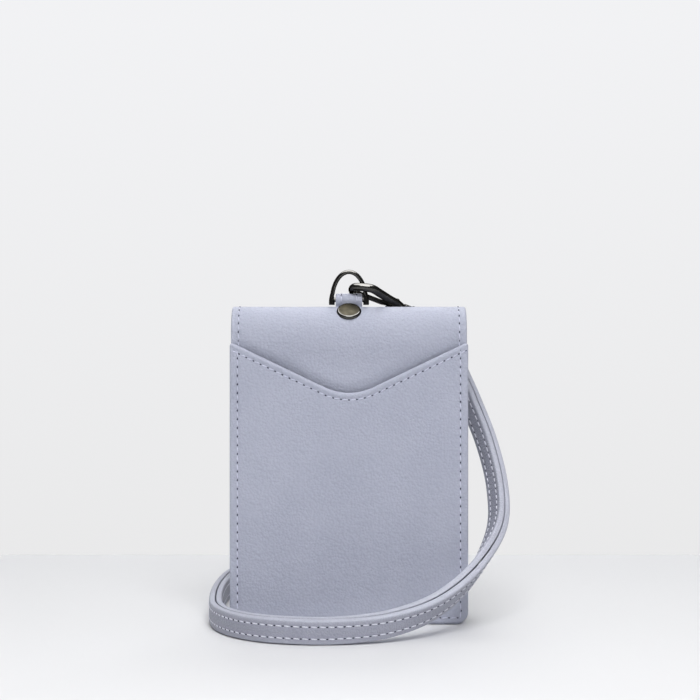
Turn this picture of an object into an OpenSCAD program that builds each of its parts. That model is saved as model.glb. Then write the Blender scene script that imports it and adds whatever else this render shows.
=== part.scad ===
// Upright ID badge wallet that flips open over its top fold, with a ring tab,
// a swivel trigger clasp and a doubled leather lanyard that stands round it on edge.
// X runs to the right, Y away from the scooped card pocket, Z up from the floor.

/* [Wallet] */
// Width of the outer leather
wallet_w = 80; // [72:0.5:95]
// Height from the floor to the top of the fold
wallet_h = 107.8; // [104:0.1:125]
// Outer radius of the fold
fold_r = 8.5; // [7.8:0.1:10]
// Radius of the lower corners
corner_r = 4; // [1:0.1:5]
// Thickness of the outer leather
cover_t = 1.1; // [0.9:0.1:1.3]
// Thickness of the board inside each leaf
board_t = 1.6; // [1.2:0.1:2]
// Thickness of the lining
lining_t = 0.7; // [0.5:0.1:0.9]
// Thickness of the board inside the fold
spine_t = 1; // [0.8:0.1:1.2]
// Margin from the leather's edge to the boards
board_inset = 2.5; // [1.5:0.1:5]
// Gap at the crease above the pocket leaf
crease_gap = 0.3; // [0.2:0.05:0.6]

/* [Scooped pocket] */
// How far the pocket panel stands past the outer leather at each side
pocket_lip = 0.35; // [0:0.05:1]
// Thickness of the pocket panel
pocket_t = 1.1; // [0.8:0.1:1.4]
// Room for a card behind the pocket panel
card_gap = 0.5; // [0.3:0.1:1]
// Width of the seam strip at the pocket's sides and bottom
seam_w = 4; // [3:0.1:6]
// Height of the lowest point of the scoop
scoop_z = 78.4; // [60:0.1:85]
// Radius at the bottom of the scoop
scoop_r = 18.8; // [10:0.1:30]
// Slope of the scoop's flanks in degrees
scoop_slope = 25.6; // [15:0.1:28]

/* [Badge window] */
// Width of the window opening
window_w = 50; // [40:0.5:56]
// Leather left between the window and the thumb scoop above it
window_drop = 4; // [3:0.5:12]
// Height of the window's lower edge
window_z = 10; // [7:0.5:14]
// Corner radius of the window opening
window_r = 3; // [1:0.1:6]
// Thickness of the clear sheet
window_t = 0.3; // [0.2:0.05:0.5]
// Thickness of the seam strip round the badge's room
rim_t = 0.5; // [0.3:0.1:1]
// Thickness of the leather frame
frame_t = 0.8; // [0.6:0.1:1.2]
// Height of the leather frame
frame_h = 97; // [92:0.5:98]
// Radius of the thumb scoops in the frame and slots
thumb_r = 9; // [6:0.5:10]

/* [Card slots] */
// Thickness of a slot panel
slot_t = 0.8; // [0.6:0.1:1]
// Height of the taller slot panel
tall_slot_h = 80; // [75:0.5:88]
// Height of the shorter slot panel
short_slot_h = 64; // [50:0.5:70]

/* [Magnets] */
// Diameter of a closure magnet
magnet_d = 12; // [8:0.5:16]
// Height of the magnets above the floor
magnet_z = 12; // [11:0.5:20]
// Thickness of a magnet
magnet_t = 1.4; // [1:0.1:1.6]

/* [Ring tab] */
// Width of the tab
tab_w = 9.1; // [7:0.1:9.4]
// Thickness of one ply of the tab
tab_t = 1; // [0.8:0.1:1]
// Angle of the tab round the fold, from the front, in degrees
tab_angle = 88; // [85:1:90]
// Slack of the tab's loop above the ring's bar
loop_slack = 0.3; // [0:0.1:0.5]
// Angle where the tab's tail ends inside the fold, in degrees
tail_angle = 34; // [26:1:38]

/* [Rivet] */
// Angle of the rivet round the fold, from the front, in degrees
rivet_angle = 53; // [50:1:55]
// Diameter of the rivet cap
cap_d = 8.5; // [7:0.1:8.8]
// Height of the cap above the leather
cap_h = 1.1; // [0.8:0.1:1.6]
// Depth of the cap's rim below the crown of the leather
cap_rim = 0.4; // [0.2:0.1:0.6]
// Radius of the cap's dome
dome_r = 14; // [10:0.5:30]
// Diameter of the rivet's post
post_d = 3; // [2:0.1:3.5]
// Diameter of the rivet's back disc
back_d = 6.4; // [5:0.1:7]
// Thickness of the rivet's back disc
back_t = 0.9; // [0.6:0.1:1.2]

/* [D-ring] */
// Diameter of the ring's wire
ring_wire = 1.5; // [1.2:0.1:1.6]
// Half width of the ring between wire centres
ring_half = 5.8; // [5.7:0.1:6.4]
// Height of the bow above the bar
ring_rise = 9.6; // [9:0.1:10.4]
// Diameter of the ring's feet
foot_d = 2.4; // [1.8:0.1:2.5]
// Width of the ring's feet
foot_w = 1.7; // [1.5:0.1:1.9]
// Height of the bar above the leather
ring_lift = 2.35; // [2.3:0.05:3]

/* [Clasp] */
// Radius of the hook's arm at its middle
arm_r = 1.4; // [1.2:0.05:1.5]
// Length of the hook from the swivel to the nose
hook_l = 25.5; // [25:0.5:27]
// Spread of the hook's arm from the swivel axis
arm_spread = 4.4; // [4.2:0.1:4.8]
// Spread of the gate from the swivel axis
gate_spread = 3.4; // [3.2:0.1:3.6]
// Width of the gate bar
gate_w = 1.5; // [1.2:0.1:1.7]
// Diameter of the gate's pin
pin_d = 1.4; // [1.2:0.1:1.6]
// Diameter of the thumb knob
knob_d = 1.8; // [1.4:0.1:2]
// Radius of the swivel barrel
barrel_r = 1.9; // [1.7:0.05:2]
// Diameter of the swivel's stud
stud_d = 1.8; // [1.5:0.1:2]
// Diameter of the stud's head
head_d = 3.2; // [2.8:0.1:3.4]
// Diameter of the eye's wire
eye_wire = 1.6; // [1.4:0.1:1.7]

/* [Lanyard] */
// Width of the strap
strap_w = 8; // [6:0.1:8.4]
// Thickness of the strap
strap_t = 2; // [1.6:0.1:2.3]
// Gap between the two strands
strand_gap = 0.4; // [0.3:0.05:0.6]
// Diameter of the strap rivet's heads
strap_rivet_d = 5; // [4:0.1:6]

/* [Hidden] */
$fn = 64;

// Shared clearances and the overrun that every cut takes
fit = 0.1;
seat = 0.05;
over = 1;

// The fold's centre, and the leaves' layers counted from the outside
fold_z = wallet_h - fold_r;
front_y = -fold_r - card_gap - pocket_t;
back_y = fold_r + rim_t + window_t + frame_t;
fold_y = -(front_y + back_y) / 2;
cover_in_r = fold_r - cover_t;
board_in_r = cover_in_r - board_t;
lining_in_r = board_in_r - lining_t;
slot_in_r = lining_in_r - slot_t;
spine_in_r = cover_in_r - spine_t;
fold_lining_r = spine_in_r - lining_t;
leaf_top = fold_z - crease_gap;
board_w = wallet_w - 2 * board_inset;
lining_w = wallet_w - board_inset;
pocket_w = wallet_w + 2 * pocket_lip;
turned_w = board_inset - fit;
window_h = frame_h - thumb_r - window_drop - window_z;
tail_room = 2;

// The ring's bar stands off the fold on the tab's own radius
bar_at = fold_r + ring_lift;
bar_y = fold_y - bar_at * cos(tab_angle);
bar_z = fold_z + bar_at * sin(tab_angle);
bore_r = ring_wire / 2 + fit;
loop_r = bore_r + tab_t;

// The clasp lies across the fold: its axis runs to the right, back and down
clasp_at = [21.7, 11.5, 106.3];
clasp_dir_shares = [0.8, 0.52, -0.31];
clasp_side_shares = [0.59, -0.77, 0.25];
clasp_x = clasp_dir_shares / norm(clasp_dir_shares);
clasp_y = square_to(clasp_side_shares, clasp_x);
clasp_z = cross(clasp_x, clasp_y);
barrel_l = 3.4;
block_l = 5.8;
block_half = 1.8;
block_t = 2.2;
block_top = 0.6;
pin_at = 6.5;
pin_side = 2.6;
boss_r = 1.5;
boss_t = 1;
knob_at = 4.4;
knob_h = 1.9;
knob_neck_d = 1.3;
pin_head_d = 2.2;
pin_head_t = 0.5;
spring_t = 0.6;
spring_d = 2.4;
collar_r = 2.3;
collar_l = 2.2;
collar_gap = 0.2;
head_t = 0.8;
eye_l = 7.2;
eye_half = strap_w / 2 + eye_wire / 2 + collar_gap;
eye_bar_x = collar_gap + collar_l / 2 + eye_l;
tip_share = -0.93;

// The strap: strands sit either side of the route, and spread to pass round the eye's bar
strand_off = (strap_t + strand_gap) / 2;
bight_off = eye_wire / 2 + fit + strap_t / 2;
strap_face = strand_off + strap_t / 2;
strap_edge = 0.6;
strap_rivet_run = 9;
strap_rivet_post_d = 2;
strap_rivet_t = 0.9;

// The route from the eye, then each point with the direction of the strap's width there
route_start = clasp_at + clasp_x * eye_bar_x;
rivet_point = route_start + clasp_x * strap_rivet_run;
route = [
  [route_start, clasp_y, bight_off],
  [rivet_point, clasp_y, strand_off],
  [[37.3, 24.5, 89], [0.60, -0.70, 0.38], strand_off],
  [[43.5, 26, 75], [0.56, -0.77, 0.30], strand_off],
  [[49.1, 20.5, 60], [0.50, -0.85, 0.18], strand_off],
  [[52, 10.5, 45], [0.40, -0.92, 0.08], strand_off],
  [[50.5, -4, 32], [0.25, -0.96, 0.12], strand_off],
  [[41.8, -20, 20], [0, -0.90, 0.35], strand_off],
  [[28.8, -33, 10.7], [-0.10, -0.67, 0.67], strand_off],
  [[13.3, -42, 6.1], [-0.05, -0.38, 0.90], strand_off],
  [[-3.7, -46, 4.6], [0, -0.22, 0.97], strand_off],
  [[-19.7, -45, 4.6], [-0.03, -0.18, 0.98], strand_off],
  [[-33.2, -37, 4.5], [-0.06, -0.12, 0.99], strand_off],
  [[-42.2, -22, 4.4], [-0.04, 0, 1], strand_off],
  [[-45.9, 0, 4.3], [0, 0, 1], strand_off],
  [[-46.8, 38, 4.2], [0, 0, 1], strand_off],
  [[-43, 74, 4.2], [0, 0, 1], strand_off],
  [[-29, 90, 4.2], [0, 0, 1], strand_off],
  [[-5, 96, 4.2], [0, 0, 1], strand_off],
  [[20, 90, 4.2], [0, 0, 1], strand_off],
  [[36, 73, 4.2], [0, 0, 1], strand_off],
  [[34, 52, 4.2], [0, 0, 1], strand_off],
  [[18, 42, 4.2], [0, 0, 1], strand_off],
  [[2, 44, 4.2], [0, 0, 1], strand_off]
];
last_seen = 15;
route_end = len(route) - 1;
stations = concat(
  [for (i = [0 : last_seen - 1]) for (k = [0, 0.5]) i + k],
  [for (i = [last_seen : route_end]) i]
);

/* Directions and curves */
function unit(v) = v / norm(v);
function square_to(v, axis) = unit(v - axis * (v * axis));
function between(a, b, c, d, t) =
  (2 * b + (c - a) * t + (2 * a - 5 * b + 4 * c - d) * t * t
  + (3 * b - a - 3 * c + d) * t * t * t) / 2;
function smooth_at(list, t) =
  let (last = len(list) - 1, i = min(floor(t), last - 1), b = list[i], c = list[i + 1],
    a = i == 0 ? 2 * b - c : list[i - 1], d = i + 2 > last ? 2 * c - b : list[i + 2])
  between(a, b, c, d, t - i);
function column(list, k) = [for (row = list) row[k]];
function section_points(w, t, edge) = [
  [w / 2, -t / 2 + edge], [w / 2, t / 2 - edge], [w / 2 - edge, t / 2], [-w / 2 + edge, t / 2],
  [-w / 2, t / 2 - edge], [-w / 2, -t / 2 + edge], [-w / 2 + edge, -t / 2], [w / 2 - edge, -t / 2]
];

route_points = column(route, 0);
route_widths = column(route, 1);
route_offs = column(route, 2);
nudge = 0.01;
function route_along(t) = unit(
  smooth_at(route_points, min(t + nudge, route_end)) - smooth_at(route_points, max(t - nudge, 0)));
function route_width(t) = square_to(smooth_at(route_widths, t), route_along(t));
function route_out(t) = cross(route_along(t), route_width(t));
function strand_ring(t, side) =
  let (p = smooth_at(route_points, t), w = route_width(t), n = route_out(t),
    off = side * smooth_at(route_offs, t))
  [for (q = section_points(strap_w, strap_t, strap_edge)) p + w * q.x + n * (q.y + off)];

// A closed skin over rings that all have the same number of points
module skin(rings) {
  sides = len(rings[0]);
  last = len(rings) - 1;
  points = [for (ring = rings) each ring];
  faces = concat(
    [[for (j = [0 : sides - 1]) j]],
    [for (i = [0 : last - 1]) for (j = [0 : sides - 1])
      [i * sides + j, (i + 1) * sides + j, (i + 1) * sides + (j + 1) % sides]],
    [for (i = [0 : last - 1]) for (j = [0 : sides - 1])
      [i * sides + j, (i + 1) * sides + (j + 1) % sides, i * sides + (j + 1) % sides]],
    [[for (j = [sides - 1 : -1 : 0]) last * sides + j]]
  );
  polyhedron(points, faces);
}

// Puts children into a frame given by its origin and three axes
module in_frame(o, x, y, z) {
  multmatrix([[x.x, y.x, z.x, o.x], [x.y, y.y, z.y, o.y], [x.z, y.z, z.z, o.z]]) children();
}

module clasp_frame() in_frame(clasp_at, clasp_x, clasp_y, clasp_z) children();

// A flat sheet whose near face is at y, drawn in X and Z
module sheet(y, t) translate([0, fold_y + y + t, 0]) rotate([90, 0, 0]) linear_extrude(t) children();

// A bar along X, drawn in Y and Z round the fold's centre
module along_fold(w) translate([0, fold_y, fold_z]) rotate([90, 0, 90])
  linear_extrude(w, center = true) children();

// An upright panel with rounded lower corners
module panel_outline(w, low, high, r) {
  translate([-w / 2, low + r]) square([w, high - low - r]);
  translate([-w / 2 + r, low]) square([w - 2 * r, high - low - r]);
  for (s = [-1, 1]) translate([s * (w / 2 - r), low + r]) circle(r);
}

// A strip along both sides and the bottom of a panel
module edge_outline(w, high, strip) {
  difference() {
    panel_outline(w, 0, high, corner_r);
    translate([-w / 2 + strip, strip]) square([w - 2 * strip, high]);
  }
}

module scoop_outline() {
  reach = scoop_r * sin(scoop_slope);
  low = scoop_z + scoop_r * (1 - cos(scoop_slope));
  far = pocket_w;
  high = low + (far - reach) * tan(scoop_slope);
  translate([0, scoop_z + scoop_r]) circle(scoop_r);
  polygon([[-reach, low], [reach, low], [far, high], [far, wallet_h + far], [-far, wallet_h + far],
    [-far, high]]);
}

module half_ring(outer, inner) {
  difference() {
    circle(outer);
    circle(inner);
    translate([-outer - over, -outer - over]) square([2 * (outer + over), outer + over]);
  }
}

// A sector of a ring between two angles, counted from the front over the top
module ring_sector(outer, inner, from, to) {
  intersection() {
    difference() {
      circle(outer);
      circle(inner);
    }
    polygon([[0, 0], 2 * outer * [-cos(from), sin(from)], 2 * outer * [-cos(to), sin(to)]]);
  }
}

module tab_radius() rotate(180 - tab_angle) children();

module tab_outline() {
  throat = fold_r + seat;
  fall = bar_at - throat;
  lean = asin(loop_r / norm([tab_t, fall])) - atan2(tab_t, fall);
  difference() {
    union() {
      tab_radius() {
        for (r = [bar_at, bar_at + loop_slack]) translate([r, 0]) circle(loop_r);
        translate([bar_at, -loop_r]) square([loop_slack, 2 * loop_r]);
        polygon([
          [bar_at - loop_r * sin(lean), loop_r * cos(lean)], [throat, tab_t],
          [spine_in_r, tab_t], [spine_in_r, -tab_t], [throat, -tab_t],
          [bar_at - loop_r * sin(lean), -loop_r * cos(lean)]
        ]);
      }
      ring_sector(cover_in_r - seat, spine_in_r, tail_angle, tab_angle);
    }
    tab_radius() {
      for (r = [bar_at, bar_at + loop_slack]) translate([r, 0]) circle(bore_r);
      translate([bar_at, -bore_r]) square([loop_slack, 2 * bore_r]);
    }
    circle(spine_in_r + seat);
  }
}

module rivet_frame() translate([0, fold_y, fold_z]) rotate([90 - rivet_angle, 0, 0]) children();

module post_hole() rivet_frame() cylinder(d = post_d + 2 * fit, h = fold_r + over);

module magnet_hole(y, t, d) {
  translate([0, fold_y + y + t + over, magnet_z]) rotate([90, 0, 0]) cylinder(d = d, h = t + 2 * over);
}

module magnet_disc(y) {
  translate([0, fold_y + y + magnet_t, magnet_z]) rotate([90, 0, 0]) cylinder(d = magnet_d, h = magnet_t);
}

module slot_outline(w, high) {
  difference() {
    panel_outline(w, 0, high, corner_r);
    translate([0, high]) circle(thumb_r);
  }
}

// The pocket leaf
module pocket_panel() color("lightsteelblue") sheet(-fold_r - card_gap - pocket_t, pocket_t)
  difference() {
    panel_outline(pocket_w, 0, leaf_top, corner_r);
    scoop_outline();
  }

module pocket_seam() color("slategray") sheet(-fold_r - card_gap, card_gap)
  difference() {
    edge_outline(wallet_w, leaf_top, seam_w);
    scoop_outline();
  }

// A cover's leather is turned in round the edge of its board
module front_cover() color("lightsteelblue") {
  sheet(-fold_r, cover_t) panel_outline(wallet_w, 0, leaf_top, corner_r);
  sheet(-fold_r + cover_t / 2, cover_t / 2 + board_t) edge_outline(wallet_w, leaf_top, turned_w);
}

module front_board() color("tan") difference() {
  sheet(-cover_in_r, board_t) panel_outline(board_w, board_inset, leaf_top - board_inset, corner_r);
  magnet_hole(-cover_in_r, board_t, magnet_d + 2 * fit);
}

module front_magnet() color("silver") magnet_disc(-cover_in_r);

module front_lining() color("lavender") sheet(-board_in_r, lining_t)
  panel_outline(lining_w, 0, leaf_top, corner_r);

module front_slot_tall() color("lightsteelblue") sheet(-lining_in_r, slot_t)
  slot_outline(lining_w, tall_slot_h);

module front_slot_short() color("lightsteelblue") sheet(-slot_in_r, slot_t)
  slot_outline(lining_w, short_slot_h);

// The fold
module fold_cover() color("lightsteelblue") difference() {
  union() {
    along_fold(wallet_w) half_ring(fold_r, cover_in_r);
    for (s = [-1, 1]) translate([s * (wallet_w - turned_w) / 2, 0, 0])
      along_fold(turned_w) half_ring(fold_r - cover_t / 2, spine_in_r);
  }
  along_fold(tab_w + 2 * fit) tab_radius()
    translate([spine_in_r, -tab_t - fit]) square([bar_at, 2 * (tab_t + fit)]);
  post_hole();
}

module spine_board() color("tan") difference() {
  along_fold(board_w) half_ring(cover_in_r, spine_in_r);
  along_fold(tab_w + 2 * fit) difference() {
    tab_radius() translate([0, -tab_t - fit]) square([bar_at, 2 * (tab_t + fit)]);
    circle(spine_in_r - over);
  }
  along_fold(tab_w + 2 * fit)
    ring_sector(fold_r, spine_in_r - over, tail_angle - tail_room, tab_angle);
}

module fold_lining() color("lavender") difference() {
  along_fold(lining_w) half_ring(spine_in_r - seat, fold_lining_r);
  post_hole();
}

module ring_tab() color("lightsteelblue") difference() {
  along_fold(tab_w) tab_outline();
  post_hole();
}

module rivet_cap() color("darkslategray") difference() {
  rivet_frame() intersection() {
    translate([0, 0, fold_r - cap_rim]) cylinder(d = cap_d, h = cap_rim + cap_h);
    translate([0, 0, fold_r + cap_h - dome_r]) sphere(dome_r, $fn = 96);
  }
  along_fold(wallet_w) circle(fold_r + seat);
}

module rivet_post() color("darkslategray") {
  intersection() {
    rivet_frame() translate([0, 0, fold_lining_r - back_t]) cylinder(d = post_d, h = fold_r);
    along_fold(wallet_w) circle(fold_r);
  }
  intersection() {
    rivet_frame() translate([0, 0, fold_lining_r - 2 * back_t]) cylinder(d = back_d, h = 2 * back_t);
    along_fold(wallet_w) circle(fold_lining_r - seat);
  }
}

// The badge leaf
module back_cover() color("lightsteelblue") {
  sheet(cover_in_r, cover_t) panel_outline(wallet_w, 0, fold_z, corner_r);
  sheet(board_in_r, board_t + cover_t / 2) edge_outline(wallet_w, fold_z, turned_w);
}

module back_board() color("tan") difference() {
  sheet(board_in_r, board_t) panel_outline(board_w, board_inset, fold_z - board_inset, corner_r);
  magnet_hole(board_in_r, board_t, magnet_d + 2 * fit);
}

module back_magnet() color("silver") magnet_disc(cover_in_r - magnet_t);

module back_lining() color("lavender") sheet(lining_in_r, lining_t)
  panel_outline(lining_w, 0, fold_z - crease_gap, corner_r);

module back_slot() color("lightsteelblue") sheet(slot_in_r, slot_t)
  slot_outline(lining_w, tall_slot_h);

module badge_seam() color("slategray") sheet(fold_r, rim_t)
  edge_outline(wallet_w, frame_h, seam_w);

module badge_window() color("lightcyan") sheet(fold_r + rim_t, window_t)
  panel_outline(board_w, board_inset, frame_h - board_inset, corner_r);

module badge_frame() color("lightsteelblue") sheet(fold_r + rim_t + window_t, frame_t)
  difference() {
    panel_outline(wallet_w, 0, frame_h, corner_r);
    translate([-window_w / 2 + window_r, window_z]) square([window_w - 2 * window_r, window_h]);
    translate([-window_w / 2, window_z + window_r]) square([window_w, window_h - 2 * window_r]);
    for (s = [-1, 1]) for (z = [window_z + window_r, window_z + window_h - window_r])
      translate([s * (window_w / 2 - window_r), z]) circle(window_r);
    translate([0, frame_h]) circle(thumb_r);
  }

// The ring: a half ellipse of wire over a straight bar, with a thicker foot at each end
wire_angles = [0 : 30 : 330];
bow_step = 7.5;
function bow_ring(a) =
  let (p = [ring_half * cos(a), 0, ring_rise * sin(a)],
    out = unit([cos(a) / ring_half, 0, sin(a) / ring_rise]))
  [for (b = wire_angles) p + (out * cos(b) + [0, 1, 0] * sin(b)) * ring_wire / 2];

module d_ring() color("dimgray") translate([0, bar_y, bar_z]) {
  skin([for (a = [0 : bow_step : 180]) bow_ring(a)]);
  rotate([0, 90, 0]) cylinder(d = ring_wire, h = 2 * ring_half, center = true);
  for (s = [-1, 1]) translate([s * ring_half, 0, 0]) rotate([0, 90, 0])
    cylinder(d = foot_d, h = foot_w, center = true);
}

// The clasp, in its own frame: the swivel axis is X and the hook points to -X
arm_line_shares = [[-0.2, 0.24], [-0.31, 0.43], [-0.46, 0.58], [-0.65, 0.87], [-0.83, 1.05], [-0.99, 0.35]];
tip_line_shares = [[-0.99, -0.28], [-0.93, -0.92]];
arm_line = concat(
  [for (q = arm_line_shares) [q.x * hook_l, q.y * arm_spread]],
  [for (q = tip_line_shares) [q.x * hook_l, q.y * gate_spread]]
);
arm_thick_shares = [0.9, 1.02, 1.05, 1.05, 1.05, 1, 0.85, 0.65];
arm_step = 0.25;

function arm_at(t) = let (p = smooth_at(arm_line, t)) [p.x, p.y, 0];
function arm_ring(t) =
  let (last = len(arm_line) - 1, p = arm_at(t),
    along = unit(arm_at(min(t + nudge, last)) - arm_at(max(t - nudge, 0))),
    side = cross([0, 0, 1], along), r = arm_r * smooth_at(arm_thick_shares, t))
  [for (a = wire_angles) p + side * r * cos(a) + [0, 0, 1] * r * sin(a)];

module clasp_hook() color("dimgray") difference() {
  clasp_frame() {
    skin([for (t = [0 : arm_step : len(arm_line) - 1]) arm_ring(t)]);
    translate([-barrel_l, 0, 0]) rotate([0, 90, 0]) cylinder(r = barrel_r, h = barrel_l);
    translate([-barrel_l - block_l, -pin_side - boss_r, -block_top])
      cube([block_l + fit, pin_side + boss_r + block_half, block_t]);
  }
  at_pin() translate([0, 0, -over - block_top]) {
    cylinder(d = pin_d + 2 * fit, h = block_t + 2 * over, $fn = 32);
    cylinder(d = spring_d + 2 * fit, h = over + spring_t + fit, $fn = 32);
  }
  clasp_frame() {
    translate([-barrel_l / 2, 0, 0]) rotate([0, 90, 0])
      cylinder(d = stud_d + fit, h = barrel_l, $fn = 32);
    translate([-barrel_l - block_l, -pin_side - boss_r - over, gate_top - over])
      cube([block_l, pin_side + 2 * boss_r + over - fit, boss_t + fit + over]);
  }
}

// The gate: a boss on the pin, a bar to the hook's tip and a thumb knob on the tail
gate_tip = [tip_share * hook_l + arm_r, -gate_spread];
gate_top = -block_top - fit - boss_t;
gate_run = gate_tip - [-pin_at, -pin_side];
gate_clear = barrel_l + block_l - pin_at + boss_r;

module at_pin() clasp_frame() translate([-pin_at, -pin_side, 0]) children();

module clasp_gate() color("gray") at_pin() difference() {
  union() {
    translate([0, 0, gate_top]) cylinder(r = boss_r, h = boss_t, $fn = 32);
    rotate(atan2(gate_run.y, gate_run.x)) {
      translate([0, -gate_w / 2, gate_top]) cube([norm(gate_run), gate_w, boss_t]);
      translate([gate_clear, -gate_w / 2, gate_top])
        cube([norm(gate_run) - gate_clear, gate_w, 2 * boss_t]);
    }
    translate([0, -knob_d / 2, gate_top]) cube([pin_at - knob_at, knob_d, boss_t]);
    translate([pin_at - knob_at, 0, gate_top]) cylinder(d = knob_d, h = boss_t, $fn = 24);
    translate([pin_at - knob_at, 0, gate_top - knob_h])
      cylinder(d = knob_neck_d, h = knob_h + fit, $fn = 24);
    translate([pin_at - knob_at, 0, gate_top - knob_h]) sphere(d = knob_d, $fn = 24);
  }
  translate([0, 0, gate_top - over]) cylinder(d = pin_d + 2 * fit, h = boss_t + 2 * over, $fn = 32);
}

module gate_pin() color("silver") at_pin() {
  translate([0, 0, gate_top - seat])
    cylinder(d = pin_d, h = boss_t + fit + seat + block_t, $fn = 32);
  translate([0, 0, gate_top - seat - pin_head_t])
    cylinder(d = pin_head_d, h = pin_head_t, $fn = 32);
}

module gate_spring() color("silver") at_pin() translate([0, 0, -block_top]) difference() {
  cylinder(d = spring_d, h = spring_t, $fn = 32);
  translate([0, 0, -over]) cylinder(d = pin_d + 2 * fit, h = spring_t + 2 * over, $fn = 32);
}

module swivel_stud() color("silver") clasp_frame() rotate([0, 90, 0]) {
  translate([0, 0, -barrel_l / 2 + fit])
    cylinder(d = stud_d, h = barrel_l / 2 + 2 * collar_gap + collar_l, $fn = 32);
  translate([0, 0, 2 * collar_gap + collar_l]) cylinder(d = head_d, h = head_t, $fn = 32);
}

module swivel_eye() color("dimgray") clasp_frame() difference() {
  union() {
    translate([collar_gap, 0, 0]) rotate([0, 90, 0]) cylinder(r = collar_r, h = collar_l);
    for (x = [collar_gap + collar_l / 2, eye_bar_x]) translate([x, 0, 0]) rotate([90, 0, 0])
      cylinder(d = eye_wire, h = 2 * eye_half + eye_wire, center = true, $fn = 24);
    for (s = [-1, 1]) translate([collar_gap + collar_l / 2, s * eye_half, 0]) rotate([0, 90, 0])
      cylinder(d = eye_wire - fit, h = eye_l, $fn = 24);
  }
  rotate([0, 90, 0]) cylinder(d = stud_d + 2 * fit, h = collar_l + 2 * collar_gap, $fn = 32);
}

// The lanyard
module strap_turn(t, off, sense) {
  in_frame(smooth_at(route_points, t), sense * route_out(t), sense * route_along(t), route_width(t))
    rotate_extrude(angle = 180, $fn = 32)
      polygon([for (q = section_points(strap_w, strap_t, strap_edge)) [off + q.y, q.x]]);
}

module strap_rivet_frame()
  in_frame(rivet_point, route_along(1), route_width(1), route_out(1)) children();

// The post's hole, and a seat that each head presses into the leather
module strap_rivet_hole() strap_rivet_frame() {
  cylinder(d = strap_rivet_post_d + 2 * fit, h = 2 * (strap_face + over), center = true, $fn = 32);
  for (s = [-1, 1]) translate([0, 0, s * (strap_face + seat + over)])
    cylinder(d = strap_rivet_d + 2 * fit, h = 2 * over, center = true, $fn = 32);
}

module strand(side) difference() {
  skin([for (t = stations) strand_ring(t, side)]);
  strap_rivet_hole();
}

module strap_inner() color("lightsteelblue") strand(1);

module strap_outer() color("lightsteelblue") strand(-1);

module strap_neck_fold() color("lightsteelblue") strap_turn(route_end, strand_off, 1);

module strap_bight() color("lightsteelblue") strap_turn(0, bight_off, -1);

module strap_rivet() color("darkslategray") strap_rivet_frame() {
  translate([0, 0, -strap_face - strap_rivet_t - fit])
    cylinder(d = strap_rivet_d, h = strap_rivet_t, $fn = 32);
  translate([0, 0, -strap_face - fit])
    cylinder(d = strap_rivet_post_d, h = 2 * (strap_face + fit), $fn = 32);
}

module strap_rivet_cap() color("darkslategray") strap_rivet_frame()
  translate([0, 0, strap_face + fit]) cylinder(d = strap_rivet_d, h = strap_rivet_t, $fn = 32);

pocket_panel();
pocket_seam();
front_cover();
front_board();
front_magnet();
front_lining();
front_slot_tall();
front_slot_short();
fold_cover();
spine_board();
fold_lining();
ring_tab();
rivet_cap();
rivet_post();
back_cover();
back_board();
back_magnet();
back_lining();
back_slot();
badge_seam();
badge_window();
badge_frame();
d_ring();
clasp_hook();
clasp_gate();
gate_pin();
gate_spring();
swivel_stud();
swivel_eye();
strap_bight();
strap_rivet();
strap_rivet_cap();
strap_inner();
strap_outer();
strap_neck_fold();
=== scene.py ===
import math

import bmesh
import bpy
import numpy as np
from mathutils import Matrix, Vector
from mathutils.geometry import delaunay_2d_cdt


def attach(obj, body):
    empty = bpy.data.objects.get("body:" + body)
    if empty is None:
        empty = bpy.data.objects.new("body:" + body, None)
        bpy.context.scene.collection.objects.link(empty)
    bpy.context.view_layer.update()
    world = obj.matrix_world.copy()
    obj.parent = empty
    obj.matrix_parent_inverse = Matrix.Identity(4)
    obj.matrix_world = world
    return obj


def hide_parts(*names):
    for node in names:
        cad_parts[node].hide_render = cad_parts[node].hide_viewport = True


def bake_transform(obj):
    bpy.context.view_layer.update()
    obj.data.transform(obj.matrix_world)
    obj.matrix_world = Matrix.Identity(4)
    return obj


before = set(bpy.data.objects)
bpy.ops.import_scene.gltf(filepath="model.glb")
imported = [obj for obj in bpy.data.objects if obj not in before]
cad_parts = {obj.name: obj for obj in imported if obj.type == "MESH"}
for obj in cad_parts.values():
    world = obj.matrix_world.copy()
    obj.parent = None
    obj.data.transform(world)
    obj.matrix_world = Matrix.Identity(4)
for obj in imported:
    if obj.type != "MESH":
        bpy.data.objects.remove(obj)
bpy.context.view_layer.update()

# Shapes are worked out in millimetres and made in metres
MM = 0.001

# Sizes of the construction model, in millimetres
WALLET_W = 80.0
POCKET_W = 80.7
FOLD_R = 8.5
FOLD_Z = 99.3
CORNER_R = 4.0
COVER_T = 1.1
RIM_LEAF_T = 2.7
RIM_FOLD_T = 2.1
RIM_W = 2.4
LINING_T = 0.7
LINING_W = 77.5
LINING_Y = 5.8
FOLD_LINING_R = 6.4
POCKET_Y = 10.1
POCKET_T = 1.1
SEAM_W = 4.0
SCOOP_Z = 78.4
SCOOP_R = 18.8
SCOOP_SLOPE = math.radians(25.6)
SLOT_T = 0.8
SLOT_HALF = 4.3
TALL_SLOT_H = 80.0
SHORT_SLOT_H = 64.0
THUMB_R = 9.0
FRAME_H = 97.0
FRAME_T = 0.8
FRAME_Y = 10.1
RIM_T = 0.5
WINDOW_W = 50.0
WINDOW_LOW = 10.0
WINDOW_HIGH = 84.0
WINDOW_R = 3.0
TAB_W = 9.1
TAB_T = 1.0
TAB_ANGLE = math.radians(88)
TAIL_ANGLE = math.radians(34)
TAB_BURIED_R = 6.9
BAR_AT = 10.85
LOOP_SLACK = 0.3
RIVET_ANGLE = math.radians(53)
RING_HALF = 5.8
RING_RISE = 9.6
RING_R = 0.75
STRAP_W = 8.0
STRAP_T = 2.0
STRAND_OFF = 1.2
BIGHT_OFF = 1.9

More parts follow.
